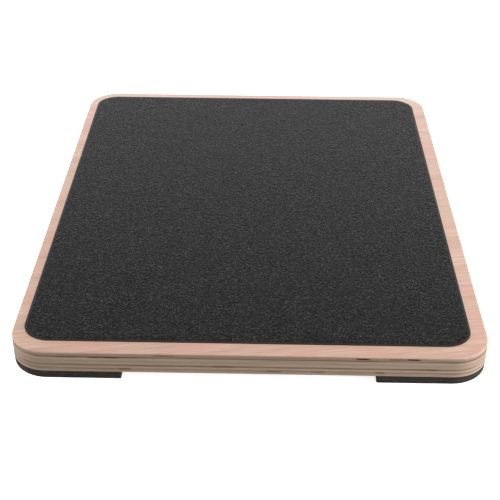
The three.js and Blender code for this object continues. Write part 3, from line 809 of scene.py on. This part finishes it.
def build():
    deck_panel()
    grip_sheet()
    up, near = Vector((0, 0, 1)), Vector((0, -1, 0))
    settle(refined("base_panel", BASE_FACE, 0.35 * MM, edge_material=BASE_EDGE), "base", "base_wood",
           "base_panel")
    settle(refined("prop_brace", BLACK, 0.35 * MM, 3), "prop", "prop_paint", "prop_brace")
    rod("catch_rod", "prop", shouldered_rod)
    rod("pivot_rod", "prop", plain_rod)
    for word, side in SIDES.items():
        corner_pad(word)
        for place in ("near", "middle", "far"):
            foot(place, word)
        for node, body in (("hinge_base_leaf", "base"), ("pivot_bracket", "base"),
                           ("hinge_deck_leaf", "deck")):
            settle(refined(f"{node}_{word}", ZINC, 0.22 * MM), body, "zinc", f"{node}_{word}")
        settle(refined(f"rack_{word}", ALUMINIUM, 0.18 * MM), "deck", "rack", f"rack_{word}")
        settle(refined(f"prop_arm_{word}", BLACK, 0.4 * MM, 3), "prop", "prop_paint",
               f"prop_arm_{word}")
        rod(f"hinge_pin_{word}", "base", headed_pin)
        fastener(f"brace_screw_{word}", "prop", Vector((-side, 0, 0)), BRACE_SCREW)
        for number in (1, 2):
            tail = f"{word}_{number}"
            fastener(f"pad_screw_{tail}", "deck", up, PAD_SCREW)
            fastener(f"rack_screw_{tail}", "deck", up, RACK_SCREW, countersunk=True)
            fastener(f"hinge_screw_{tail}", "deck", near, HINGE_SCREW)
            fastener(f"hinge_rivet_{tail}", "base", up, RIVET, socket=False)
            fastener(f"bracket_rivet_{tail}", "base", up, RIVET, socket=False)


# ------------------------------------------------------------------ stage, light, camera

def floor():
    """A plain round floor at height 0, wide enough to reach the horizon."""
    radius, sides = 14.0, 96
    spin = [2 * math.pi * n / sides for n in range(sides)]
    vertices = [(radius * math.cos(a), radius * math.sin(a), 0.0) for a in spin]
    make_piece("floor", vertices, [tuple(range(sides))], [floor_paint()])


def sky():
    """White to the camera; as a light it is bright overhead and dim near the horizon."""
    world = bpy.data.worlds.new("studio")
    bpy.context.scene.world = world
    world.use_nodes = True
    tree = world.node_tree
    tree.nodes.clear()
    place = tree.nodes.new("ShaderNodeTexCoord")
    split = tree.nodes.new("ShaderNodeSeparateXYZ")
    tree.links.new(place.outputs["Generated"], split.inputs[0])
    rise = tree.nodes.new("ShaderNodeMapRange")
    rise.inputs["To Min"].default_value = HORIZON_GLOW
    rise.inputs["To Max"].default_value = OVERHEAD_GLOW
    tree.links.new(split.outputs["Z"], rise.inputs["Value"])
    lit = tree.nodes.new("ShaderNodeBackground")
    seen = tree.nodes.new("ShaderNodeBackground")
    tree.links.new(rise.outputs["Result"], lit.inputs["Strength"])
    lit.inputs["Color"].default_value = (1.0, 0.995, 0.985, 1.0)
    seen.inputs["Color"].default_value = (1.0, 1.0, 1.0, 1.0)
    path = tree.nodes.new("ShaderNodeLightPath")
    mixer = tree.nodes.new("ShaderNodeMixShader")
    output = tree.nodes.new("ShaderNodeOutputWorld")
    tree.links.new(path.outputs["Is Camera Ray"], mixer.inputs[0])
    tree.links.new(lit.outputs[0], mixer.inputs[1])
    tree.links.new(seen.outputs[0], mixer.inputs[2])
    tree.links.new(mixer.outputs[0], output.inputs["Surface"])


def softbox(name, place, target, size, power):
    data = bpy.data.lights.new(name, "AREA")
    data.shape = "RECTANGLE"
    data.size, data.size_y = size
    data.energy = power
    light = bpy.data.objects.new(name, data)
    light.location = place
    light.rotation_euler = (Vector(target) - Vector(place)).to_track_quat("-Z", "Y").to_euler()
    bpy.context.scene.collection.objects.link(light)


def camera():
    """A moderately long lens, high in front of the near edge and 9 mm right of the deck's middle."""
    pitch, yaw, roll = math.radians(32.167), math.radians(-0.849), math.radians(0.413)
    from_deck = Vector((9.2, -815.9, 460.4)) * MM
    focal_in_widths = 2.1366
    data = bpy.data.cameras.new("camera")
    data.sensor_width = 36.0
    data.lens = focal_in_widths * data.sensor_width
    data.clip_start = 0.02
    data.clip_end = 60.0
    forward = Vector((math.sin(yaw), math.cos(yaw), 0.0))
    ahead = forward * math.cos(pitch) - Vector((0.0, 0.0, math.sin(pitch)))
    level = Vector((math.cos(yaw), -math.sin(yaw), 0.0))
    above = level.cross(ahead)
    right = level * math.cos(roll) + above * math.sin(roll)
    up = above * math.cos(roll) - level * math.sin(roll)
    turn = Matrix((right, up, -ahead)).transposed().to_4x4()
    top = Vector((DECK_MIDDLE.x, DECK_MIDDLE.y, DECK_HIGH.z))
    view = bpy.data.objects.new("camera", data)
    view.matrix_world = Matrix.Translation(top + from_deck) @ turn
    bpy.context.scene.collection.objects.link(view)
    bpy.context.scene.camera = view


build()
floor()
sky()
for box in SOFTBOXES:
    softbox(*box)
camera()
bpy.context.scene.view_settings.view_transform = "Standard"
